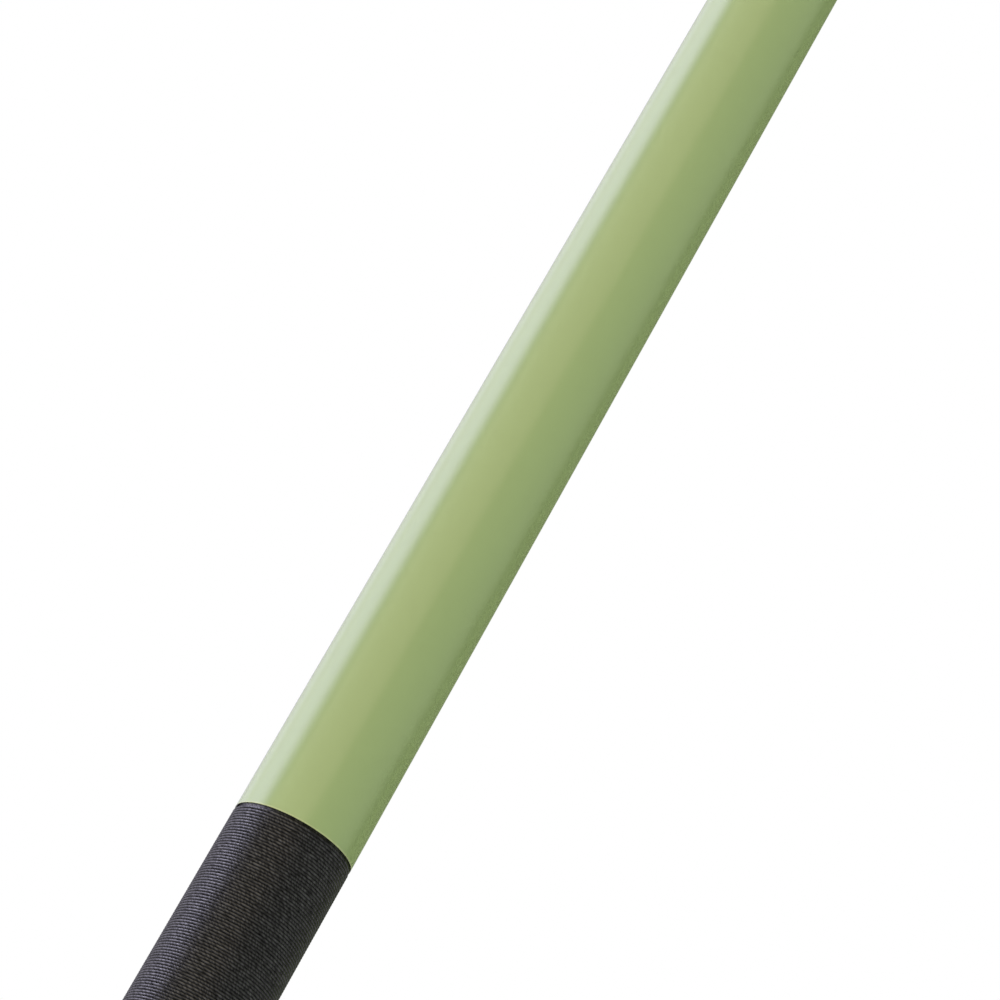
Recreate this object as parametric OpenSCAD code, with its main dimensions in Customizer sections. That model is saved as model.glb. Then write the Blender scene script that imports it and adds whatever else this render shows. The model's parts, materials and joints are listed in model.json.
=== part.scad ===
// Two-piece pool cue: a painted butt with a thread-wound grip, and a maple shaft that screws onto it.
// The cue stands upright. The origin is the centre of the bumper's lower face, and +Z runs to the tip.

/* [Lengths] */
// Length of the butt, from the bumper's lower face to the joint face
butt_length = 737; // [730:1:762]
// Length of the shaft, from the joint face to the top of the tip
shaft_length = 736; // [711:1:762]
// Height of the grip's upper edge, where the forearm begins
wrap_top = 430; // [410:1:435]
// Length of the thread-wound grip
wrap_length = 305; // [280:1:315]
// Height of the rubber bumper
bumper_height = 12; // [10:0.5:14]
// Length of the butt cap
cap_length = 25; // [20:1:30]
// Width of each decorative ring
ring_width = 2.5; // [1.5:0.1:4]
// Length of each joint collar
collar_length = 22; // [18:1:26]
// Length of the ferrule
ferrule_length = 25.4; // [12:0.1:25.4]
// Length of the shaft that stays cylindrical below the ferrule
stroke_length = 300; // [250:5:380]

/* [Diameters] */
// Diameter of the butt at the joint face
joint_d = 21.8; // [21.2:0.1:22.5]
// Loss of diameter for each millimetre of the butt's length
butt_taper = 0.012; // [0.0115:0.0005:0.014]
// Diameter of the shaft at the ferrule
shaft_d = 13; // [12:0.05:13.25]
// Diameter of the bumper
bumper_d = 26.4; // [24:0.1:28]
// Diameter of the winding thread, which fills the grip's groove
thread_d = 0.64; // [0.5:0.01:0.9]

/* [Joint] */
// Outer diameter of the joint pin
pin_d = 7.9; // [7.5:0.05:7.9]
// Advance of the joint thread in one turn
pin_pitch = 1.4111; // [1.27:0.0001:2.54]
// Turns that screw the shaft fully home
pin_turns = 19; // [15:1:19]
// Running clearance round the pin, on the radius
running_gap = 0.05; // [0.02:0.01:0.09]

/* [Hidden] */
$fn = 96;

// Glue line round a bonded piece, on the radius, and how far a cutter runs past a face
glue_gap = 0.05;
past = 1;

// Heights of the faces where one piece ends and the next begins
joint_z = butt_length;
cue_top = butt_length + shaft_length;
wrap_bottom = wrap_top - wrap_length;
cap_top = bumper_height + cap_length;
sleeve_bottom = cap_top + ring_width;
forearm_top = joint_z - collar_length - ring_width;
shaft_ring_z = joint_z + collar_length;
shaft_bottom = shaft_ring_z + ring_width;
tip_height = 6.6;
pad_height = 0.7;
tip_bottom = cue_top - tip_height;
pad_bottom = tip_bottom - pad_height;
ferrule_bottom = pad_bottom - ferrule_length;
stroke_bottom = ferrule_bottom - stroke_length;

// Bumper: a rounded rubber foot with a recess for the screw head and a plug that enters the cap
bumper_edge_r = 2;
recess_r = 5.6;
recess_depth = 8;
plug_r = 8;
plug_height = 4;
screw_r = 2.5;
screw_hole_r = 2.6;
screw_head_r = 4.6;
screw_head_height = 2.8;
washer_r = 5.3;
washer_thickness = 1;
screw_length = 28;
slot_width = 1.2;
slot_depth = 1.3;

// Weight bolt: a steel bolt in the handle, tapped for the bumper's screw and slotted for a driver
bolt_r = 6.35;
bolt_bottom = 22;
bolt_length = 76;
bolt_tap_depth = 16;
bolt_slot_width = 2;
bolt_slot_depth = 2.5;
bolt_bore_depth = 95;

// Handle core: the maple dowel that carries the cap, the sleeve and the grip
tenon_r = 9.5;
tenon_bottom = 20;

// Steel stud that joins the handle to the forearm
a_screw_r = 3.95;
a_screw_length = 60;

// Joint: the forearm's tenon, the steel pin and the brass insert
collar_tenon_r = 7.5;
collar_web = 4;
pin_r = pin_d / 2;
pin_reach = pin_pitch * pin_turns - 0.8;
pin_buried = 45;
pin_nose = 1.2;
insert_r = 6.35;
insert_length = 27;
insert_flush_gap = 0.2;
shaft_tenon_r = 8.2;
shaft_web = 3;
pin_pocket = 4;

// Shaft top: the tenon in the ferrule, and the tip's rounded top
ferrule_tenon_r = 4;
ferrule_cap = 3;
tip_dome_r = 10.6;

// Shaft curve: the share of the flare that is straight, and the number of rings along it
flare_straight = 0.6;
flare_rings = 24;

function butt_r(z) = (joint_d + butt_taper * (joint_z - z)) / 2;
function shaft_taper_start() = butt_r(joint_z) - butt_taper / 2 * (shaft_bottom - joint_z);
function flare_r(t) = shaft_d / 2
    + (shaft_taper_start() - shaft_d / 2) * (flare_straight * t + (1 - flare_straight) * t * t);

// A solid slice of the butt's cone between two heights
module butt_slice(from, to) {
    translate([0, 0, from]) cylinder(h = to - from, r1 = butt_r(from), r2 = butt_r(to));
}

// A round cutter or rod between two heights
module rod(r, from, to) {
    translate([0, 0, from]) cylinder(h = to - from, r = r);
}

// A rod that ends in a chamfered nose, turned as one piece
module nosed_rod(r, from, to, nose) {
    rotate_extrude() polygon([[0, from], [r, from], [r, to - nose], [r - nose, to], [0, to]]);
}

module bumper() {
    color("#26272a")
    difference() {
        rotate_extrude() union() {
            square([bumper_d / 2 - bumper_edge_r, bumper_height]);
            translate([0, bumper_edge_r]) square([bumper_d / 2, bumper_height - bumper_edge_r]);
            translate([bumper_d / 2 - bumper_edge_r, bumper_edge_r])
                intersection() {
                    circle(r = bumper_edge_r);
                    translate([0, -bumper_edge_r]) square(bumper_edge_r);
                }
            square([plug_r, bumper_height + plug_height]);
        }
        rod(recess_r, -past, recess_depth);
        rod(screw_hole_r, 0, bumper_height + plug_height + past);
    }
}

module bumper_washer() {
    color("#b9bcc0")
    difference() {
        rod(washer_r, recess_depth - washer_thickness, recess_depth);
        rod(screw_hole_r, recess_depth - washer_thickness - past, recess_depth + past);
    }
}

module bumper_screw() {
    head_top = recess_depth - washer_thickness;
    head_bottom = head_top - screw_head_height;
    color("#b9bcc0")
    difference() {
        union() {
            rod(screw_head_r, head_bottom, head_top);
            rod(screw_r, head_top - slot_depth, head_top + screw_length);
        }
        for (turn = [0, 90])
            rotate([0, 0, turn]) translate([-screw_head_r / 2, -slot_width / 2, head_bottom - past])
                cube([screw_head_r, slot_width, slot_depth + past]);
    }
}

module weight_bolt() {
    color("#8d9196")
    difference() {
        rod(bolt_r, bolt_bottom, bolt_bottom + bolt_length);
        rod(screw_r + glue_gap, bolt_bottom - past, bolt_bottom + bolt_tap_depth);
        translate([-bolt_r - past, -bolt_slot_width / 2, bolt_bottom - past])
            cube([2 * (bolt_r + past), bolt_slot_width, bolt_slot_depth + past]);
    }
}

module butt_cap() {
    color("#17181a")
    difference() {
        butt_slice(bumper_height, cap_top);
        rod(plug_r + glue_gap, bumper_height - past, bumper_height + plug_height);
        rod(bolt_r + 2 * glue_gap, bumper_height, cap_top + past);
        rod(tenon_r + glue_gap, tenon_bottom, cap_top + past);
    }
}

module cap_ring() {
    color("#c9ccd0")
    difference() {
        butt_slice(cap_top, sleeve_bottom);
        rod(tenon_r + glue_gap, cap_top - past, sleeve_bottom + past);
    }
}

module butt_sleeve() {
    color("#95a96e")
    difference() {
        butt_slice(sleeve_bottom, wrap_bottom);
        rod(tenon_r + glue_gap, sleeve_bottom - past, wrap_bottom + past);
    }
}

module handle_core() {
    color("#d9b98a")
    difference() {
        union() {
            rod(tenon_r, tenon_bottom, wrap_bottom);
            translate([0, 0, wrap_bottom])
                cylinder(h = wrap_length, r1 = butt_r(wrap_bottom) - thread_d, r2 = butt_r(wrap_top) - thread_d);
        }
        rod(bolt_r + glue_gap, tenon_bottom - past, tenon_bottom + bolt_bore_depth);
        rod(a_screw_r + glue_gap, wrap_top - a_screw_length / 2 - past, wrap_top + past);
    }
}

module linen_wrap() {
    color("#2b2a2c")
    difference() {
        butt_slice(wrap_bottom, wrap_top);
        translate([0, 0, wrap_bottom - past])
            cylinder(h = wrap_length + 2 * past,
                     r1 = butt_r(wrap_bottom - past) - thread_d,
                     r2 = butt_r(wrap_top + past) - thread_d);
    }
}

module a_joint_screw() {
    color("#8d9196") rod(a_screw_r, wrap_top - a_screw_length / 2, wrap_top + a_screw_length / 2);
}

module forearm() {
    color("#95a96e")
    difference() {
        union() {
            butt_slice(wrap_top, forearm_top);
            rod(collar_tenon_r, forearm_top, joint_z - collar_web);
        }
        rod(a_screw_r + glue_gap, wrap_top - past, wrap_top + a_screw_length / 2 + past);
        rod(pin_r + glue_gap, joint_z - pin_buried - past, joint_z);
    }
}

module forearm_ring() {
    color("#c9ccd0")
    difference() {
        butt_slice(forearm_top, forearm_top + ring_width);
        rod(collar_tenon_r + glue_gap, forearm_top - past, forearm_top + ring_width + past);
    }
}

module butt_collar() {
    color("#17181a")
    difference() {
        butt_slice(joint_z - collar_length, joint_z);
        rod(collar_tenon_r + glue_gap, joint_z - collar_length - past, joint_z - collar_web);
        rod(pin_r + glue_gap, joint_z - collar_length, joint_z + past);
    }
}

module joint_pin() {
    color("#b9bcc0") nosed_rod(pin_r, joint_z - pin_buried, joint_z + pin_reach, pin_nose);
}

module shaft_insert() {
    color("#c49a4a")
    difference() {
        rod(insert_r, joint_z + insert_flush_gap, joint_z + insert_flush_gap + insert_length);
        rod(pin_r + running_gap, joint_z - past, joint_z + insert_flush_gap + insert_length + past);
    }
}

module shaft_collar() {
    color("#17181a")
    difference() {
        butt_slice(joint_z, shaft_ring_z);
        rod(insert_r + glue_gap, joint_z - past, shaft_ring_z + past);
        rod(shaft_tenon_r + glue_gap, joint_z + shaft_web, shaft_ring_z + past);
    }
}

module shaft_ring() {
    color("#c9ccd0")
    difference() {
        butt_slice(shaft_ring_z, shaft_bottom);
        rod(shaft_tenon_r + glue_gap, shaft_ring_z - past, shaft_bottom + past);
    }
}

// The flare from the ring up to the cylindrical stretch, as the outline of a turned piece
module flare() {
    span = stroke_bottom - shaft_bottom;
    outline = [for (i = [0:flare_rings]) let (t = 1 - i / flare_rings) [flare_r(t), shaft_bottom + span * (1 - t)]];
    rotate_extrude() polygon(concat([[0, shaft_bottom]], outline, [[0, stroke_bottom]]));
}

module shaft_wood() {
    insert_top = joint_z + insert_flush_gap + insert_length;
    color("#e3c694")
    difference() {
        union() {
            rod(shaft_tenon_r, joint_z + shaft_web, shaft_bottom);
            flare();
            rod(shaft_d / 2, stroke_bottom, ferrule_bottom);
            rod(ferrule_tenon_r, ferrule_bottom, pad_bottom - ferrule_cap);
        }
        rod(insert_r + glue_gap, joint_z, insert_top + glue_gap);
        rod(pin_r + 3 * running_gap, joint_z, insert_top + pin_pocket);
    }
}

module ferrule() {
    color("#ece9df")
    difference() {
        rod(shaft_d / 2, ferrule_bottom, pad_bottom);
        rod(ferrule_tenon_r + glue_gap, ferrule_bottom - past, pad_bottom - ferrule_cap);
    }
}

module tip_pad() {
    color("#3a2a24") rod(shaft_d / 2, pad_bottom, tip_bottom);
}

module tip() {
    color("#7c5b3f")
    intersection() {
        rod(shaft_d / 2, tip_bottom, cue_top);
        translate([0, 0, cue_top - tip_dome_r]) sphere(r = tip_dome_r);
    }
}

bumper();
bumper_washer();
bumper_screw();
weight_bolt();
butt_cap();
cap_ring();
butt_sleeve();
handle_core();
linen_wrap();
a_joint_screw();
forearm();
forearm_ring();
butt_collar();
joint_pin();
shaft_insert();
shaft_collar();
shaft_ring();
shaft_wood();
ferrule();
tip_pad();
tip();
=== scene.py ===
"""The looks of a two-piece pool cue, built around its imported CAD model.

The cue stands upright along +Z. Lengths are in millimetres, and meshes are scaled to metres as they are made.
Sixteen pieces are turned or wound meshes that each stand for a CAD node. The other five CAD nodes are kept.
Heights and the butt's cone come from the CAD boxes, so a piece always ends where its node ends.
"""

import json
import math

import bpy
import numpy as np
from mathutils import Matrix, Vector

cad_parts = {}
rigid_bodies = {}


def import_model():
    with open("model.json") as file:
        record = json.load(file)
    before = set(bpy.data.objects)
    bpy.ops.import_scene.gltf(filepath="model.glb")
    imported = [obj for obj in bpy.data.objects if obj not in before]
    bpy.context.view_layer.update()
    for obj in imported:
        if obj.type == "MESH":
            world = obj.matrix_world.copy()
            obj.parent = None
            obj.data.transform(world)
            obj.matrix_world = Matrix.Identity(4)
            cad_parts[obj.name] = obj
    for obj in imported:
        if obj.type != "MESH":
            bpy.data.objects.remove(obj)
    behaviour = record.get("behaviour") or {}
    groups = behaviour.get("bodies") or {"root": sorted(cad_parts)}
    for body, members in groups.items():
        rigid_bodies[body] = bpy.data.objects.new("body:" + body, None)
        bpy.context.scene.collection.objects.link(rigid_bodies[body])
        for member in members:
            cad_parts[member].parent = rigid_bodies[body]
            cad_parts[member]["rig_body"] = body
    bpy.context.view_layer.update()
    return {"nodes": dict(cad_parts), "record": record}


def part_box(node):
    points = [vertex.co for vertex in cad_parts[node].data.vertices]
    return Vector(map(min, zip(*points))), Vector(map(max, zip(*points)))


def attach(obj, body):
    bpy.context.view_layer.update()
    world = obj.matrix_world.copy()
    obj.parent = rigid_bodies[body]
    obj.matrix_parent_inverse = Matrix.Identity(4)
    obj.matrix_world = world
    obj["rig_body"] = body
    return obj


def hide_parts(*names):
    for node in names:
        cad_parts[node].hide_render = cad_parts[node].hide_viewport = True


MM = 0.001
TURN = 2 * math.pi
SMOOTH_SEGMENTS = 192
THREAD_SEGMENTS = 64
EDGE_BEVEL = 0.12
FINE_BEVEL = 0.08
DISC_BEVEL = 0.05

# Bores and tenons inside the pieces, as in the CAD model
GLUE_GAP = 0.05
TENON_R = 9.5
COLLAR_TENON_R = 7.5
COLLAR_WEB = 4.0
COLLAR_FACE_BEVEL = 0.25
PIN_R = 3.95
PIN_PITCH = 1.4111
PIN_NOSE = 1.2
HOLE_SPARE = 1.0
INSERT_R = 6.35
INSERT_MOUTH_R = 4.3
INSERT_MOUTH = 0.5
INSERT_END = 0.4
PIN_ROOM_R = 4.15
PIN_ROOM = 4.0
SHAFT_TENON_R = 8.2
SHAFT_WEB = 3.0
FERRULE_TENON_R = 4.0
FERRULE_CAP = 3.0
PLUG_R = 8.0
PLUG_HEIGHT = 4.0
BOLT_BORE_R = 6.45
RECESS_R = 5.6
RECESS_DEPTH = 8.0
SCREW_HOLE_R = 2.6
A_SCREW_R = 3.95
TIP_DOME_R = 10.6
TIP_DOME_STEPS = 12
TIP_EDGE_BEVEL = 0.2
FLARE_STRAIGHT = 0.6
FLARE_STEPS = 48
STROKE_LENGTH = 300.0

# Winding thread of the grip. One turn is listed as (share of pitch, depth): round, and a little flat on top.
# At each end of the grip it fades into a flat ring at the depth WOUND_END.
THREAD_D = 0.64
WRAP_SEGMENTS = 64
WOUND_PROFILE = [
    (0.0, 0.21),
    (0.07, 0.125),
    (0.22, 0.045),
    (0.42, 0.0),
    (0.58, 0.0),
    (0.78, 0.045),
    (0.93, 0.125),
]
WOUND_END = 0.05

# Machine screw thread of the joint pin and its insert: flat crest, sloping flank, flat root
THREAD_DEPTH = 0.62
THREAD_PROFILE = [(0.0, 0.0), (0.14, 0.0), (0.5, THREAD_DEPTH), (0.64, THREAD_DEPTH)]
THREAD_SLACK = 0.02

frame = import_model()


# ---------------------------------------------------------------- places


def heights(node):
    """Lowest and highest height of a CAD node, in millimetres."""
    low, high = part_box(node)
    return low.z / MM, high.z / MM


def widest(node):
    """Largest radius of a CAD node, in millimetres."""
    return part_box(node)[1].x / MM


WRAP_LOW, WRAP_TOP = heights("linen_wrap")
BUTT_WIDE_Z = heights("butt_cap")[0]
BUTT_WIDE_R = widest("butt_cap")
BUTT_SLOPE = (BUTT_WIDE_R - widest("forearm")) / (WRAP_TOP - BUTT_WIDE_Z)


def butt_r(z):
    """Radius of the butt's cone at a height."""
    return BUTT_WIDE_R - BUTT_SLOPE * (z - BUTT_WIDE_Z)


# ---------------------------------------------------------------- meshes


class Shell:
    """Rings of points round the Z axis, joined by walls. Points are kept in millimetres."""

    def __init__(self, segments):
        self.segments = segments
        self.points = []
        self.faces = []

    def ring(self, radius, height):
        first = len(self.points)
        for i in range(self.segments):
            angle = TURN * i / self.segments
            self.points.append((radius * math.cos(angle), radius * math.sin(angle), height))
        return list(range(first, first + self.segments))

    def pole(self, height):
        self.points.append((0.0, 0.0, height))
        return [len(self.points) - 1]

    def wall(self, a, b):
        """Joins two rings, or a ring and a pole, with faces that look outwards when b is above a."""
        n = self.segments
        for i in range(n):
            j = (i + 1) % n
            if len(a) == 1:
                self.faces.append((a[0], b[j], b[i]))
            elif len(b) == 1:
                self.faces.append((a[i], a[j], b[0]))
            else:
                self.faces.append((a[i], a[j], b[j], b[i]))

    def wound_wall(self, radius_at, pitch, profile, low, high, end_depth=0.0, outwards=True):
        """A helical wall between two heights, as (its flat bottom ring, its flat top ring).

        radius_at(z, depth) is the radius at a depth inside the wall. profile lists (share of pitch, depth).
        Over the last half pitch at each end it fades into a flat ring at end_depth.
        """
        n = self.segments
        k = len(profile)
        bottom = self.ring(radius_at(low, end_depth), low)
        top = self.ring(radius_at(high, end_depth), high)
        rows = int((high - low) / pitch - 1) * k
        first = len(self.points)
        for row in range(rows + 1):
            share, depth = profile[row % k]
            for i in range(n):
                z = low + pitch * (row // k + share + i / n)
                fade = max(0.0, min(1.0, 2 * (z - low) / pitch, 2 * (high - z) / pitch))
                radius = radius_at(z, end_depth + (depth - end_depth) * fade)
                angle = TURN * i / n
                self.points.append((radius * math.cos(angle), radius * math.sin(angle), z))
        grid = [list(range(first + row * n, first + (row + 1) * n)) for row in range(rows + 1)]
        made = []
        for row in range(rows):
            for i in range(n - 1):
                made.append((grid[row][i], grid[row][i + 1], grid[row + 1][i + 1], grid[row + 1][i]))
            if row + k + 1 <= rows:
                made.append((grid[row][n - 1], grid[row + k][0], grid[row + k + 1][0], grid[row + 1][n - 1]))
        # the wedge between the flat bottom ring and the first turn
        for i in range(n - 1):
            made.append((bottom[i], bottom[i + 1], grid[0][i + 1], grid[0][i]))
        made.append((bottom[n - 1], bottom[0], *[grid[r][0] for r in range(k + 1)], grid[0][n - 1]))
        # the wedge between the last turn and the flat top ring
        for i in range(n - 1):
            made.append((grid[rows][i], grid[rows][i + 1], top[i + 1], top[i]))
        last = [grid[r][n - 1] for r in range(rows - k, rows + 1)]
        made.append((*reversed(last[1:]), last[0], grid[rows][0], top[0], top[n - 1]))
        self.faces += made if outwards else [tuple(reversed(f)) for f in made]
        return bottom, top


def make_object(name, shell):
    """A smooth-shaded object in metres from a shell."""
    mesh = bpy.data.meshes.new(name)
    points = [(x * MM, y * MM, z * MM) for x, y, z in shell.points]
    mesh.from_pydata(points, [], shell.faces)
    mesh.validate()
    mesh.update()
    mesh.polygons.foreach_set("use_smooth", [True] * len(mesh.polygons))
    piece = bpy.data.objects.new(name, mesh)
    bpy.context.scene.collection.objects.link(piece)
    return piece


def even_normals(piece):
    """Lets large faces rule the shading, so that a small rounded edge doesn't tint the face beside it."""
    modifier = piece.modifiers.new("even_normals", "WEIGHTED_NORMAL")
    modifier.weight = 100
    modifier.keep_sharp = True


def rounded(outline, bevel, steps=4, longest_share=0.45):
    """A closed outline with each corner off the axis rounded.

    A corner may carry its own bevel as a third number. A bevel takes at most longest_share of a side by it.
    """
    made = []
    count = len(outline)
    for i, corner in enumerate(outline):
        own = corner[2] if len(corner) > 2 else bevel
        here = np.array(corner[:2], float)
        if own <= 0 or here[0] <= 0:
            made.append(tuple(here))
            continue
        before = np.array(outline[i - 1][:2], float) - here
        after = np.array(outline[(i + 1) % count][:2], float) - here
        before_length = np.linalg.norm(before)
        after_length = np.linalg.norm(after)
        reach = min(own, longest_share * before_length, longest_share * after_length)
        start = here + before / before_length * reach
        end = here + after / after_length * reach
        for step in range(steps + 1):
            t = step / steps
            made.append(tuple((1 - t) ** 2 * start + 2 * t * (1 - t) * here + t * t * end))
    return made


def turned(name, outline, bevel=EDGE_BEVEL):
    """A solid of revolution. outline is a closed loop of (radius, height), going up its outer side."""
    shell = Shell(SMOOTH_SEGMENTS)
    loop = rounded(outline, bevel)
    rings = [shell.pole(z) if r <= 0 else shell.ring(r, z) for r, z in loop]
    for i, ring in enumerate(rings):
        after = rings[(i + 1) % len(rings)]
        if len(ring) > 1 or len(after) > 1:
            shell.wall(ring, after)
    piece = make_object(name, shell)
    even_normals(piece)
    return piece


def sleeve_outline(low, high, bore):
    """The outline of a tube on the butt's cone with a straight bore."""
    return [(butt_r(low), low), (butt_r(high), high), (bore, high), (bore, low)]


# ---------------------------------------------------------------- material nodes


def new_material(name):
    material = bpy.data.materials.new(name)
    material.use_nodes = True
    return material, material.node_tree


class Nodes:
    """Short calls for building a node tree."""

    def __init__(self, tree):
        self.tree = tree
        self.shader = tree.nodes.get("Principled BSDF")

    def add(self, kind, **settings):
        node = self.tree.nodes.new(kind)
        for key, value in settings.items():
            setattr(node, key, value)
        return node

    def link(self, source, target):
        self.tree.links.new(source, target)

    def feed(self, socket, value):
        if isinstance(value, bpy.types.NodeSocket):
            self.link(value, socket)
        else:
            socket.default_value = value

    def math(self, operation, a, b=0.0, c=0.0):
        node = self.add("ShaderNodeMath", operation=operation)
        for socket, value in zip(node.inputs, (a, b, c)):
            self.feed(socket, value)
        return node.outputs[0]

    def scaled_place(self, scale):
        """The point on the object in its own frame, stretched by scale on each axis."""
        place = self.add("ShaderNodeTexCoord").outputs["Object"]
        mapping = self.add("ShaderNodeMapping")
        mapping.inputs["Scale"].default_value = scale
        self.link(place, mapping.inputs["Vector"])
        return mapping.outputs["Vector"]

    def noise(self, scale, detail=2.0, roughness=0.5):
        node = self.add("ShaderNodeTexNoise")
        node.inputs["Scale"].default_value = 1.0
        node.inputs["Detail"].default_value = detail
        node.inputs["Roughness"].default_value = roughness
        self.link(self.scaled_place(scale), node.inputs["Vector"])
        return node.outputs["Fac"]

    def noise_along(self, value, scale, detail):
        """Noise that follows one number, such as the way along a thread."""
        node = self.add("ShaderNodeTexNoise", noise_dimensions="1D")
        node.inputs["Scale"].default_value = scale
        node.inputs["Detail"].default_value = detail
        self.link(value, node.inputs["W"])
        return node.outputs["Fac"]

    def ramp(self, factor, stops):
        """A colour for factor. stops are (position, (r, g, b))."""
        node = self.add("ShaderNodeValToRGB")
        elements = node.color_ramp.elements
        while len(elements) < len(stops):
            elements.new(0.5)
        for element, (position, colour) in zip(elements, stops):
            element.position = position
            element.color = (*colour, 1.0)
        self.link(factor, node.inputs["Fac"])
        return node.outputs["Color"]

    def mix(self, blend, factor, a, b):
        """Two colours blended."""
        node = self.add("ShaderNodeMix", data_type="RGBA", blend_type=blend)
        self.feed(node.inputs["Factor"], factor)
        self.feed(node.inputs[6], a)
        self.feed(node.inputs[7], b)
        return node.outputs[2]

    def smooth_step(self, value, start, end):
        """0 where value is at start and 1 where it is at end, smooth between."""
        node = self.add("ShaderNodeMapRange", interpolation_type="SMOOTHSTEP")
        node.inputs["From Min"].default_value = start
        node.inputs["From Max"].default_value = end
        self.link(value, node.inputs["Value"])
        return node.outputs["Result"]

    def fade_out(self, value, middle, width):
        """1 where value is low and 0 where it is high, with a smooth step of this width about middle."""
        return self.smooth_step(value, middle + width / 2, middle - width / 2)

    def between(self, factor, low, high):
        """A number from low to high as factor goes from 0 to 1."""
        node = self.add("ShaderNodeMapRange")
        node.inputs["To Min"].default_value = low
        node.inputs["To Max"].default_value = high
        self.link(factor, node.inputs["Value"])
        return node.outputs["Result"]

    def bump(self, height, depth_mm):
        """A bump of depth_mm for height from 0 to 1."""
        node = self.add("ShaderNodeBump")
        node.inputs["Strength"].default_value = 1.0
        node.inputs["Distance"].default_value = depth_mm * MM
        self.link(height, node.inputs["Height"])
        return node.outputs["Normal"]

    def around(self):
        """The angle round the cue's axis and the height, in radians and millimetres."""
        place = self.add("ShaderNodeTexCoord").outputs["Object"]
        split = self.add("ShaderNodeSeparateXYZ")
        self.link(place, split.inputs[0])
        angle = self.math("ARCTAN2", split.outputs["Y"], split.outputs["X"])
        height = self.math("MULTIPLY", split.outputs["Z"], 1 / MM)
        return angle, height

    def away_from(self, value, place):
        """How far value is from place, either way."""
        return self.math("ABSOLUTE", self.math("SUBTRACT", value, place))

    def set(self, **values):
        for key, value in values.items():
            self.feed(self.shader.inputs[key.replace("_", " ")], value)


# A painted highlight: the lacquer's colour turns paler in a thin band beside the grip, where its edge would
# catch the light
PAINTED_HIGHLIGHT_WIDTH = 0.45
PAINTED_HIGHLIGHT_COLOUR = (0.51, 0.60, 0.27, 1.0)


def green_lacquer():
    """Sage green lacquer under a clear coat, faintly mottled and wavy, with a painted highlight beside the
    grip.
    """
    material, tree = new_material("green_lacquer")
    n = Nodes(tree)
    mottle = n.noise((45, 45, 9), detail=4)
    colour = n.ramp(mottle, [(0.3, (0.372, 0.503, 0.196)), (0.7, (0.388, 0.523, 0.206))])
    _, height = n.around()
    from_grip = n.math("MINIMUM", n.away_from(height, WRAP_TOP), n.away_from(height, WRAP_LOW))
    # painted highlight: a pale band of colour on the lacquer beside each end of the grip
    painted_highlight = n.smooth_step(from_grip, PAINTED_HIGHLIGHT_WIDTH, PAINTED_HIGHLIGHT_WIDTH / 3)
    n.set(Base_Color=n.mix("MIX", painted_highlight, colour, PAINTED_HIGHLIGHT_COLOUR))
    n.set(Roughness=n.between(mottle, 0.42, 0.48), Specular_IOR_Level=0.35)
    n.set(Coat_Weight=1.0, Coat_Roughness=n.between(mottle, 0.06, 0.10), Coat_IOR=1.5)
    waves = n.noise((80, 80, 16), detail=0)
    n.link(n.bump(waves, 0.0015), n.shader.inputs["Coat Normal"])
    return material


# The grip's thread: how often its plies cross, how much they slant and drift, how lumpy they are, how dark
# the painted shade in the grooves and in the gaps between plies is, and how glossy the wax is
PLIES_PER_RADIAN = 10.66
PLY_SLANT = 0.6
PLY_UNEVENNESS = 0.7
TWIST_DRIFT = 7.0
TWIST_CHANGES_PER_RADIAN = 1.8
LUMPS = 0.75
LUMPS_PER_RADIAN = 9.0
GROOVE_SHADE = 0.45
PLY_SHADE = 0.35
WAX_UNEVENNESS = 0.45
WAX_GLOSS = 0.9
# near-black colour of the painted shade in the grooves and in the gaps between plies
PAINTED_GROOVE_SHADE_COLOUR = (0.001, 0.001, 0.001, 1.0)
FIBRE_SHARE = 0.35


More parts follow.
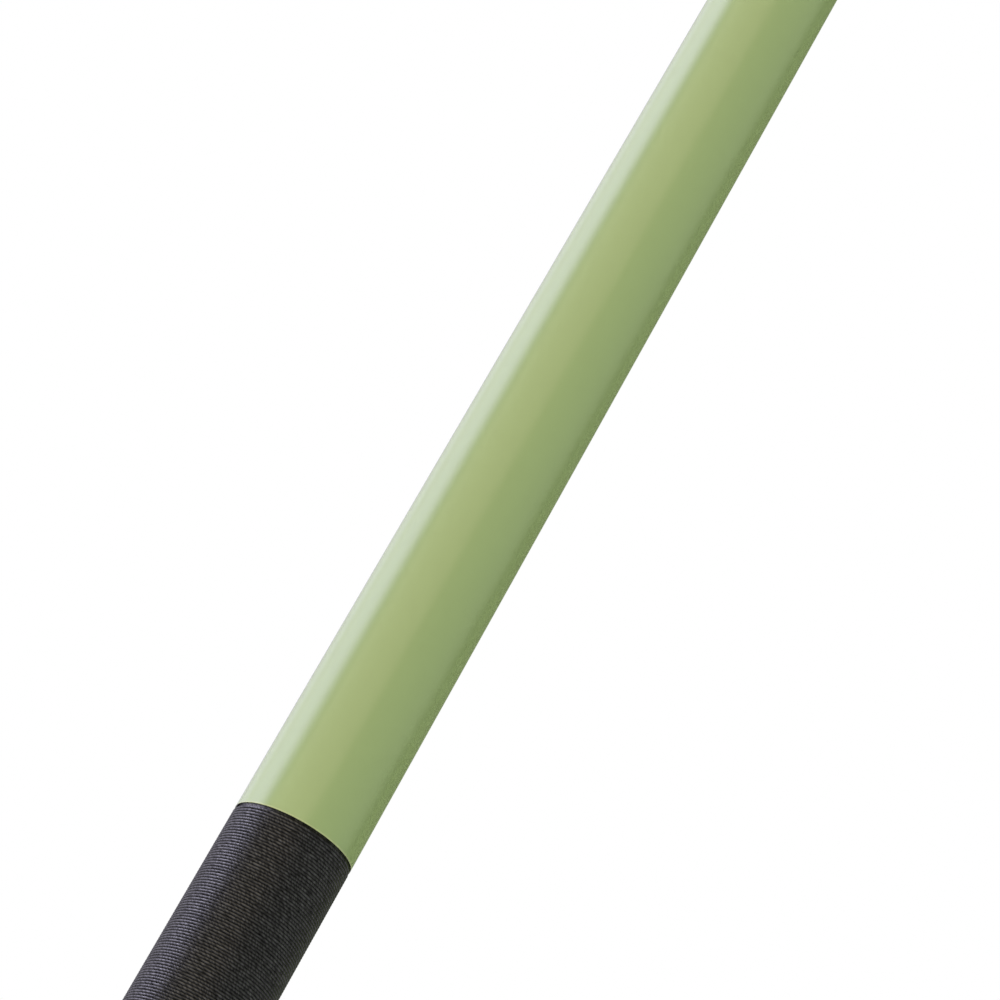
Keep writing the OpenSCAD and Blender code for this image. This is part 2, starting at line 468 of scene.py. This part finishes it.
def black_linen():
    """Waxed black thread: two plies twisted together, which show as short slanting ridges along each turn,
    with painted shade darkening the grooves between turns and the gaps between plies.
    """
    material, tree = new_material("black_linen")
    n = Nodes(tree)
    angle, height = n.around()
    climb = n.math("DIVIDE", n.math("SUBTRACT", height, WRAP_LOW), THREAD_D)
    turns = n.math("SUBTRACT", climb, n.math("DIVIDE", angle, TURN))
    whole = n.math("FLOOR", turns)
    across = n.math("FRACT", turns)
    travelled = n.math("MULTIPLY_ADD", whole, TURN, angle)
    uneven = n.noise((900, 900, 900), detail=1)
    twist = n.noise_along(travelled, TWIST_CHANGES_PER_RADIAN, detail=1)
    shift = n.math("MULTIPLY_ADD", uneven, PLY_UNEVENNESS, n.math("MULTIPLY", twist, TWIST_DRIFT))
    plies = n.math("MULTIPLY_ADD", travelled, PLIES_PER_RADIAN, shift)
    slanted = n.math("MULTIPLY_ADD", across, PLY_SLANT, plies)
    ply = n.math("ABSOLUTE", n.math("SINE", n.math("MULTIPLY", slanted, math.pi)))
    from_middle = n.math("ABSOLUTE", n.math("MULTIPLY_ADD", across, 2.0, -1.0))
    from_end = n.math("MINIMUM", n.away_from(height, WRAP_TOP), n.away_from(height, WRAP_LOW))
    last_turn = n.smooth_step(from_end, THREAD_D, THREAD_D / 2)
    # painted shade: the groove between turns is darkened, though not on the last turn at each end
    crown = n.math("MAXIMUM", n.smooth_step(from_middle, 0.95, 0.50), last_turn)
    fibre = n.noise((2400, 2400, 9000), detail=2, roughness=0.7)
    patches = n.noise((70, 70, 240), detail=4, roughness=0.6)
    dye = n.ramp(patches, [(0.25, (0.003, 0.003, 0.003)), (0.75, (0.009, 0.008, 0.007))])
    lumps = n.noise_along(travelled, LUMPS_PER_RADIAN, detail=2)
    # painted shade in the gaps between plies, times random lumps of tone along the thread
    ridge = n.math("MULTIPLY", n.between(ply, PLY_SHADE, 1.05), n.between(lumps, 1 - LUMPS, 1 + LUMPS))
    shade = n.math("MULTIPLY", n.between(crown, GROOVE_SHADE, 1.0), ridge)
    # where the painted shade is deep, the colour goes to the near-black painted shade colour
    base = n.mix("MIX", shade, PAINTED_GROOVE_SHADE_COLOUR, dye)
    n.set(Base_Color=base, Roughness=n.between(fibre, 0.26, 0.38))
    facing = n.add("ShaderNodeLayerWeight").outputs["Facing"]
    streaks = n.noise((110, 110, 1300), detail=2)
    waxed = n.math("MULTIPLY", shade, n.between(streaks, 1 - WAX_UNEVENNESS, 1 + WAX_UNEVENNESS))
    gloss = n.math("MULTIPLY", waxed, n.smooth_step(facing, 0.97, 0.4))
    n.set(Specular_IOR_Level=n.math("MULTIPLY", gloss, WAX_GLOSS))
    relief = n.math("MULTIPLY_ADD", fibre, FIBRE_SHARE, ply)
    n.link(n.bump(relief, 0.02), n.shader.inputs["Normal"])
    return material


def multiplied(colour, share):
    """A colour with each part multiplied by share."""
    return tuple(part * share for part in colour)


def maple(name, light, dark, finish_roughness, coat):
    """Straight-grained maple: long fine grain along the axis, soft growth bands and short rays."""
    material, tree = new_material(name)
    n = Nodes(tree)
    bands = n.noise((160, 160, 4), detail=4, roughness=0.6)
    grain = n.noise((2200, 2200, 45), detail=3, roughness=0.6)
    rays = n.noise((900, 900, 260), detail=1)
    tone = n.math("ADD", n.math("MULTIPLY", bands, 0.65), n.math("MULTIPLY", grain, 0.35))
    colour = n.ramp(tone, [(0.32, dark), (0.52, light), (0.72, multiplied(light, 1.06))])
    flecks = n.ramp(rays, [(0.3, (0.82, 0.76, 0.68)), (0.42, (1.0, 1.0, 1.0))])
    flecked = n.mix("MULTIPLY", 0.35, colour, flecks)
    n.set(Base_Color=flecked, Roughness=n.between(grain, finish_roughness, finish_roughness + 0.12))
    n.set(Coat_Weight=coat, Coat_Roughness=0.18)
    n.link(n.bump(grain, 0.01), n.shader.inputs["Normal"])
    return material


TOOL_LINE_MM = 0.05


def metal(name, colour, roughness):
    """Turned metal with fine lines round the axis."""
    material, tree = new_material(name)
    n = Nodes(tree)
    lines = n.noise((120, 120, 1 / (TOOL_LINE_MM * MM)), detail=2)
    tint = [(0.3, multiplied(colour, 0.9)), (0.7, colour)]
    n.set(Base_Color=n.ramp(n.noise((300, 300, 300), detail=3), tint), Metallic=1.0)
    n.set(Roughness=n.between(lines, roughness * 0.8, roughness * 1.3))
    n.link(n.bump(lines, 0.002), n.shader.inputs["Normal"])
    return material


def phenolic():
    """Polished black phenolic resin with faint cloudiness."""
    material, tree = new_material("black_phenolic")
    n = Nodes(tree)
    cloud = n.noise((400, 400, 400), detail=4)
    n.set(Base_Color=n.ramp(cloud, [(0.3, (0.006, 0.006, 0.007)), (0.7, (0.010, 0.010, 0.011))]))
    n.set(Roughness=n.between(cloud, 0.10, 0.17), Specular_IOR_Level=0.3)
    n.set(Coat_Weight=0.4, Coat_Roughness=0.05)
    return material


def rubber():
    """Matt moulded rubber with a fine pebbled skin."""
    material, tree = new_material("bumper_rubber")
    n = Nodes(tree)
    pebble = n.noise((2600, 2600, 2600), detail=2)
    dust = n.noise((150, 150, 150), detail=4)
    n.set(Base_Color=n.ramp(dust, [(0.3, (0.016, 0.016, 0.017)), (0.75, (0.030, 0.030, 0.031))]))
    n.set(Roughness=n.between(pebble, 0.62, 0.8), Specular_IOR_Level=0.4)
    n.link(n.bump(pebble, 0.03), n.shader.inputs["Normal"])
    return material


def ferrule_resin():
    """Ivory-white resin, polished, with a faint grain."""
    material, tree = new_material("ferrule_resin")
    n = Nodes(tree)
    cloud = n.noise((1100, 1100, 70), detail=1)
    n.set(Base_Color=n.ramp(cloud, [(0.2, (0.78, 0.76, 0.69)), (0.8, (0.81, 0.79, 0.73))]))
    n.set(Roughness=n.between(cloud, 0.25, 0.29), Subsurface_Weight=0.1, Coat_Weight=0.4)
    n.shader.inputs["Subsurface Radius"].default_value = (0.002, 0.0015, 0.001)
    return material


def fibre_pad():
    """Dark vulcanised fibre in thin layers."""
    material, tree = new_material("fibre_pad")
    n = Nodes(tree)
    layers = n.noise((200, 200, 9000), detail=2)
    n.set(Base_Color=n.ramp(layers, [(0.3, (0.020, 0.011, 0.008)), (0.7, (0.050, 0.026, 0.018))]))
    n.set(Roughness=n.between(layers, 0.5, 0.7))
    return material


def tip_leather():
    """Pressed leather: thin layers on the burnished side and a scuffed, fibrous dome."""
    material, tree = new_material("tip_leather")
    n = Nodes(tree)
    layers = n.noise((350, 350, 5200), detail=3, roughness=0.6)
    scuff = n.noise((1500, 1500, 1500), detail=5, roughness=0.7)
    tone = n.math("ADD", n.math("MULTIPLY", layers, 0.6), n.math("MULTIPLY", scuff, 0.4))
    browns = [(0.3, (0.085, 0.042, 0.020)), (0.55, (0.17, 0.095, 0.050)), (0.8, (0.27, 0.17, 0.10))]
    n.set(Base_Color=n.ramp(tone, browns))
    n.set(Roughness=n.between(scuff, 0.55, 0.85))
    n.link(n.bump(tone, 0.05), n.shader.inputs["Normal"])
    return material


MATERIALS = {
    "green_lacquer": green_lacquer(),
    "black_linen": black_linen(),
    "core_maple": maple("core_maple", (0.60, 0.42, 0.22), (0.44, 0.27, 0.12), 0.5, 0.0),
    "shaft_maple": maple("shaft_maple", (0.70, 0.52, 0.30), (0.56, 0.37, 0.18), 0.34, 0.35),
    "black_phenolic": phenolic(),
    "ring_metal": metal("ring_metal", (0.66, 0.66, 0.64), 0.14),
    "pin_steel": metal("pin_steel", (0.56, 0.57, 0.58), 0.24),
    "insert_brass": metal("insert_brass", (0.70, 0.48, 0.20), 0.26),
    "bolt_steel": metal("bolt_steel", (0.36, 0.37, 0.39), 0.38),
    "screw_steel": metal("screw_steel", (0.55, 0.56, 0.57), 0.28),
    "bumper_rubber": rubber(),
    "ferrule_resin": ferrule_resin(),
    "fibre_pad": fibre_pad(),
    "tip_leather": tip_leather(),
}
SLOT_OF = {part["node"]: part["material_slot"] for part in frame["record"]["subparts"]}


def stand_for(piece, node):
    """Gives a piece its node's material, body and slot, and lets it stand for the node."""
    slot = SLOT_OF[node]
    piece.data.materials.append(MATERIALS[slot])
    body = frame["nodes"][node]["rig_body"]
    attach(piece, body)
    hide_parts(node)


# On kept CAD nodes, corners closer than this are joined, and edges sharper than this are softened
WELD_MM = 0.001
SHARP_DEGREES = 40


def finish_node(node, bevel=0.0):
    """A CAD node that stays as it is, with its slot's material and, where bevel is given, softened edges."""
    part = frame["nodes"][node]
    part.data.materials.clear()
    part.data.materials.append(MATERIALS[SLOT_OF[node]])
    if bevel > 0:
        weld = part.modifiers.new("weld", "WELD")
        weld.merge_threshold = WELD_MM * MM
        soften = part.modifiers.new("soften", "BEVEL")
        soften.width = bevel * MM
        soften.segments = 2
        soften.limit_method = "ANGLE"
        soften.angle_limit = math.radians(SHARP_DEGREES)
        soften.harden_normals = True


# ---------------------------------------------------------------- the butt


def make_bumper():
    _, top = heights("bumper")
    face = top - PLUG_HEIGHT
    wide = widest("bumper")
    outline = [
        (RECESS_R, 0.0, 0.5),
        (wide, 0.0, 2.0),
        (wide, face, 0.4),
        (PLUG_R, face, 0),
        (PLUG_R, top, 0.4),
        (SCREW_HOLE_R, top, 0.2),
        (SCREW_HOLE_R, RECESS_DEPTH, 0.2),
        (RECESS_R, RECESS_DEPTH, 0.3),
    ]
    stand_for(turned("rubber_bumper", outline), "bumper")


def make_butt_cap():
    low, high = heights("butt_cap")
    core_low = heights("handle_core")[0]
    outline = [
        (butt_r(low), low, 0.5),
        (butt_r(high), high),
        (TENON_R + GLUE_GAP, high),
        (TENON_R + GLUE_GAP, core_low),
        (BOLT_BORE_R, core_low),
        (BOLT_BORE_R, low + PLUG_HEIGHT),
        (PLUG_R + GLUE_GAP, low + PLUG_HEIGHT),
        (PLUG_R + GLUE_GAP, low),
    ]
    stand_for(turned("butt_end_cap", outline), "butt_cap")


def make_tube(name, node, bore):
    low, high = heights(node)
    stand_for(turned(name, sleeve_outline(low, high, bore)), node)


def make_forearm():
    low, high = heights("forearm")
    shoulder = heights("forearm_ring")[0]
    pin_low = heights("joint_pin")[0]
    stud_high = heights("a_joint_screw")[1]
    outline = [
        (butt_r(low), low),
        (butt_r(shoulder), shoulder),
        (COLLAR_TENON_R, shoulder),
        (COLLAR_TENON_R, high),
        (PIN_R + GLUE_GAP, high),
        (PIN_R + GLUE_GAP, pin_low - HOLE_SPARE),
        (0, pin_low - HOLE_SPARE),
        (0, stud_high + HOLE_SPARE),
        (A_SCREW_R + GLUE_GAP, stud_high + HOLE_SPARE),
        (A_SCREW_R + GLUE_GAP, low),
    ]
    stand_for(turned("painted_forearm", outline, bevel=FINE_BEVEL), "forearm")


def make_butt_collar():
    low, high = heights("butt_collar")
    outline = [
        (butt_r(low), low),
        (butt_r(high), high, COLLAR_FACE_BEVEL),
        (PIN_R + GLUE_GAP, high),
        (PIN_R + GLUE_GAP, high - COLLAR_WEB),
        (COLLAR_TENON_R + GLUE_GAP, high - COLLAR_WEB),
        (COLLAR_TENON_R + GLUE_GAP, low),
    ]
    stand_for(turned("butt_joint_collar", outline), "butt_collar")


def make_linen_wrap():
    shell = Shell(WRAP_SEGMENTS)
    bottom, top = shell.wound_wall(
        lambda z, depth: butt_r(z) - depth, THREAD_D, WOUND_PROFILE, WRAP_LOW, WRAP_TOP, WOUND_END
    )
    inner_low = shell.ring(butt_r(WRAP_LOW) - THREAD_D, WRAP_LOW)
    inner_top = shell.ring(butt_r(WRAP_TOP) - THREAD_D, WRAP_TOP)
    shell.wall(top, inner_top)
    shell.wall(inner_top, inner_low)
    shell.wall(inner_low, bottom)
    stand_for(make_object("thread_winding", shell), "linen_wrap")


def make_joint_pin():
    low, high = heights("joint_pin")
    shell = Shell(THREAD_SEGMENTS)
    thread_r = PIN_R - THREAD_SLACK
    thread_top = high - PIN_NOSE
    bottom, top = shell.wound_wall(
        lambda z, depth: thread_r - depth, PIN_PITCH, THREAD_PROFILE, low, thread_top, THREAD_DEPTH
    )
    nose = shell.ring(PIN_R - PIN_NOSE, high)
    shell.wall(shell.pole(low), bottom)
    shell.wall(top, nose)
    shell.wall(nose, shell.pole(high))
    stand_for(make_object("threaded_pin", shell), "joint_pin")


def make_shaft_insert():
    low, high = heights("shaft_insert")
    pin_low = heights("joint_pin")[0]
    turns_below = math.ceil((low + INSERT_MOUTH - pin_low) / PIN_PITCH)
    start = pin_low + PIN_PITCH * turns_below
    shell = Shell(THREAD_SEGMENTS)
    outer_low = shell.ring(INSERT_R, low)
    outer_high = shell.ring(INSERT_R, high)
    shell.wall(outer_low, outer_high)
    mouth_low = shell.ring(INSERT_MOUTH_R, low)
    mouth_high = shell.ring(INSERT_MOUTH_R, high)
    end = high - INSERT_END
    bottom, top = shell.wound_wall(
        lambda z, depth: PIN_R + GLUE_GAP - depth, PIN_PITCH, THREAD_PROFILE, start, end, outwards=False
    )
    shell.wall(mouth_low, outer_low)
    shell.wall(outer_high, mouth_high)
    shell.wall(mouth_high, top)
    shell.wall(bottom, mouth_low)
    stand_for(make_object("threaded_insert", shell), "shaft_insert")


# ---------------------------------------------------------------- the shaft


def make_shaft_collar():
    low, high = heights("shaft_collar")
    outline = [
        (butt_r(low), low, COLLAR_FACE_BEVEL),
        (butt_r(high), high),
        (SHAFT_TENON_R + GLUE_GAP, high),
        (SHAFT_TENON_R + GLUE_GAP, low + SHAFT_WEB),
        (INSERT_R + GLUE_GAP, low + SHAFT_WEB),
        (INSERT_R + GLUE_GAP, low),
    ]
    stand_for(turned("shaft_joint_collar", outline), "shaft_collar")


def make_shaft():
    low, high = heights("shaft_wood")
    shoulder = heights("shaft_ring")[1]
    ferrule_low = heights("ferrule")[0]
    insert_high = heights("shaft_insert")[1]
    stroke_low = ferrule_low - STROKE_LENGTH
    slim = widest("ferrule")
    flare = butt_r(shoulder) - slim
    side = []
    for step in range(FLARE_STEPS + 1):
        t = 1 - step / FLARE_STEPS
        radius = slim + flare * (FLARE_STRAIGHT * t + (1 - FLARE_STRAIGHT) * t * t)
        height = shoulder + (stroke_low - shoulder) * (1 - t)
        side.append((radius, height, EDGE_BEVEL if step == 0 else 0))
    outline = [
        (INSERT_R + GLUE_GAP, low),
        (SHAFT_TENON_R, low),
        (SHAFT_TENON_R, shoulder, 0),
        *side,
        (slim, ferrule_low, FINE_BEVEL),
        (FERRULE_TENON_R, ferrule_low, 0),
        (FERRULE_TENON_R, high),
        (0, high),
        (0, insert_high + PIN_ROOM),
        (PIN_ROOM_R, insert_high + PIN_ROOM),
        (PIN_ROOM_R, insert_high + GLUE_GAP, 0),
        (INSERT_R + GLUE_GAP, insert_high + GLUE_GAP, 0),
    ]
    stand_for(turned("maple_shaft", outline), "shaft_wood")


def make_ferrule():
    low, high = heights("ferrule")
    wide = widest("ferrule")
    outline = [
        (wide, low, FINE_BEVEL),
        (wide, high, FINE_BEVEL),
        (0, high),
        (0, high - FERRULE_CAP),
        (FERRULE_TENON_R + GLUE_GAP, high - FERRULE_CAP),
        (FERRULE_TENON_R + GLUE_GAP, low),
    ]
    stand_for(turned("white_ferrule", outline), "ferrule")


def make_pad():
    low, high = heights("tip_pad")
    wide = widest("tip_pad")
    outline = [(0, low), (wide, low, DISC_BEVEL), (wide, high, DISC_BEVEL), (0, high)]
    stand_for(turned("fibre_pad_disc", outline), "tip_pad")


def make_tip():
    low, high = heights("tip")
    wide = widest("tip")
    centre = high - TIP_DOME_R
    edge = math.asin(wide / TIP_DOME_R)
    dome = []
    for step in range(TIP_DOME_STEPS + 1):
        lean = edge * (1 - step / TIP_DOME_STEPS)
        bevel = TIP_EDGE_BEVEL if step == 0 else 0
        dome.append((TIP_DOME_R * math.sin(lean), centre + TIP_DOME_R * math.cos(lean), bevel))
    dome[-1] = (0, high)
    outline = [(0, low), (wide, low, DISC_BEVEL), *dome]
    stand_for(turned("leather_tip", outline), "tip")


make_bumper()
make_butt_cap()
make_tube("cap_trim_ring", "cap_ring", TENON_R + GLUE_GAP)
make_tube("painted_sleeve", "butt_sleeve", TENON_R + GLUE_GAP)
make_linen_wrap()
make_forearm()
make_tube("forearm_trim_ring", "forearm_ring", COLLAR_TENON_R + GLUE_GAP)
make_butt_collar()
make_joint_pin()
make_shaft_insert()
make_shaft_collar()
make_tube("shaft_trim_ring", "shaft_ring", SHAFT_TENON_R + GLUE_GAP)
make_shaft()
make_ferrule()
make_pad()
make_tip()
for kept_node in ("handle_core", "a_joint_screw", "weight_bolt"):
    finish_node(kept_node)
for kept_node in ("bumper_washer", "bumper_screw"):
    finish_node(kept_node, bevel=EDGE_BEVEL)


# ---------------------------------------------------------------- floor, light and camera


FLOOR_SIZE_M = 60.0


def make_floor():
    mesh = bpy.data.meshes.new("floor")
    half = FLOOR_SIZE_M / 2
    corners = [(-half, -half, 0), (half, -half, 0), (half, half, 0), (-half, half, 0)]
    mesh.from_pydata(corners, [], [(0, 1, 2, 3)])
    floor = bpy.data.objects.new("floor", mesh)
    bpy.context.scene.collection.objects.link(floor)
    material, tree = new_material("pale_floor")
    n = Nodes(tree)
    grain = n.noise((4, 4, 4), detail=3)
    n.set(Base_Color=n.ramp(grain, [(0.3, (0.62, 0.62, 0.61)), (0.7, (0.64, 0.64, 0.63))]))
    n.set(Roughness=0.9, Specular_IOR_Level=0.1)
    mesh.materials.append(material)


# The studio round the cue, as soft panels: centre, half width, soft edge, foot and top in degrees, then the
# colour and strength. 0 is the camera's side and -90 its left. The fourth stands above all that the lacquer
# mirrors to the camera, so it mainly lights the thread.
PANELS = [
    (-94, 15.5, 26, -90, 50, (2.54, 2.44, 3.36)),
    (-126, 17, 16, -90, 50, (1.22, 1.15, 1.50)),
    (-166, 24, 14, -90, 50, (0.68, 0.65, 0.78)),
    (-134, 26, 20, 39, 68, (5.40, 5.25, 6.20)),
    (-30, 37, 22, -90, 50, (1.38, 1.23, 0.95)),
    (55, 46, 34, 5, 45, (0.60, 0.69, 0.56)),
    (150, 32, 14, 5, 45, (0.15, 0.20, 0.06)),
]
PANEL_TOP_SOFT = 10
SURROUND = (0.08, 0.08, 0.075)


def make_studio():
    """A white backdrop for the camera, and soft panels for everything that the cue reflects."""
    world = bpy.data.worlds.new("studio")
    bpy.context.scene.world = world
    world.use_nodes = True
    tree = world.node_tree
    tree.nodes.clear()
    n = Nodes(tree)
    direction = n.add("ShaderNodeTexCoord").outputs["Generated"]
    split = n.add("ShaderNodeSeparateXYZ")
    n.link(direction, split.inputs[0])
    azimuth = n.math("ARCTAN2", split.outputs["X"], n.math("MULTIPLY", split.outputs["Y"], -1.0))
    elevation = n.math("ARCSINE", split.outputs["Z"])
    total = SURROUND
    for centre, half_width, soft, foot, top, colour in PANELS:
        turned_away = n.math("WRAP", n.math("SUBTRACT", azimuth, math.radians(centre)), math.pi, -math.pi)
        away = n.math("ABSOLUTE", turned_away)
        inside = n.fade_out(away, math.radians(half_width), math.radians(soft))
        below_top = n.fade_out(elevation, math.radians(top), math.radians(2 * PANEL_TOP_SOFT))
        below_foot = n.fade_out(elevation, math.radians(foot), math.radians(2 * PANEL_TOP_SOFT))
        share = n.math("MULTIPLY", inside, n.math("SUBTRACT", below_top, below_foot))
        lit = n.add("ShaderNodeVectorMath", operation="SCALE")
        lit.inputs[0].default_value = colour
        n.link(share, lit.inputs["Scale"])
        added = n.add("ShaderNodeVectorMath", operation="ADD")
        n.link(lit.outputs[0], added.inputs[0])
        n.feed(added.inputs[1], total)
        total = added.outputs[0]
    lighting = n.add("ShaderNodeBackground")
    n.link(total, lighting.inputs["Color"])
    backdrop = n.add("ShaderNodeBackground")
    backdrop.inputs["Color"].default_value = (1.0, 1.0, 1.0, 1.0)
    choose = n.add("ShaderNodeMixShader")
    n.link(n.add("ShaderNodeLightPath").outputs["Is Camera Ray"], choose.inputs["Fac"])
    n.link(lighting.outputs[0], choose.inputs[1])
    n.link(backdrop.outputs[0], choose.inputs[2])
    n.link(choose.outputs[0], n.add("ShaderNodeOutputWorld").inputs["Surface"])
    bpy.context.scene.view_settings.view_transform = "Standard"


# The camera looks up along the cue by CAMERA_TILT, so the shaft leans away from it. It is rolled so that the
# cue runs from lower left to upper right, and it aims just right of the axis, above the grip's upper edge.
CAMERA_DISTANCE = 1362.0
CAMERA_TILT = 20.80
CAMERA_ROLL = 29.71
CAMERA_LENS = 249.4
CAMERA_AIM_X = 2.27
CAMERA_AIM_ABOVE_WRAP = 81.8


def make_camera():
    data = bpy.data.cameras.new("camera")
    data.sensor_width = 36.0
    data.lens = CAMERA_LENS
    data.clip_start = 0.05
    data.clip_end = 200.0
    camera = bpy.data.objects.new("camera", data)
    bpy.context.scene.collection.objects.link(camera)
    tilt = math.radians(CAMERA_TILT)
    forward = Vector((0, math.cos(tilt), math.sin(tilt)))
    upward = Vector((0, -math.sin(tilt), math.cos(tilt)))
    right = Vector((1, 0, 0))
    roll = math.radians(CAMERA_ROLL)
    screen_right = right * math.cos(roll) + upward * math.sin(roll)
    screen_up = upward * math.cos(roll) - right * math.sin(roll)
    turn = Matrix((screen_right, screen_up, -forward)).transposed()
    aim = Vector((CAMERA_AIM_X, 0, WRAP_TOP + CAMERA_AIM_ABOVE_WRAP)) * MM
    camera.matrix_world = Matrix.Translation(aim - forward * CAMERA_DISTANCE * MM) @ turn.to_4x4()
    bpy.context.scene.camera = camera


make_floor()
make_studio()
make_camera()
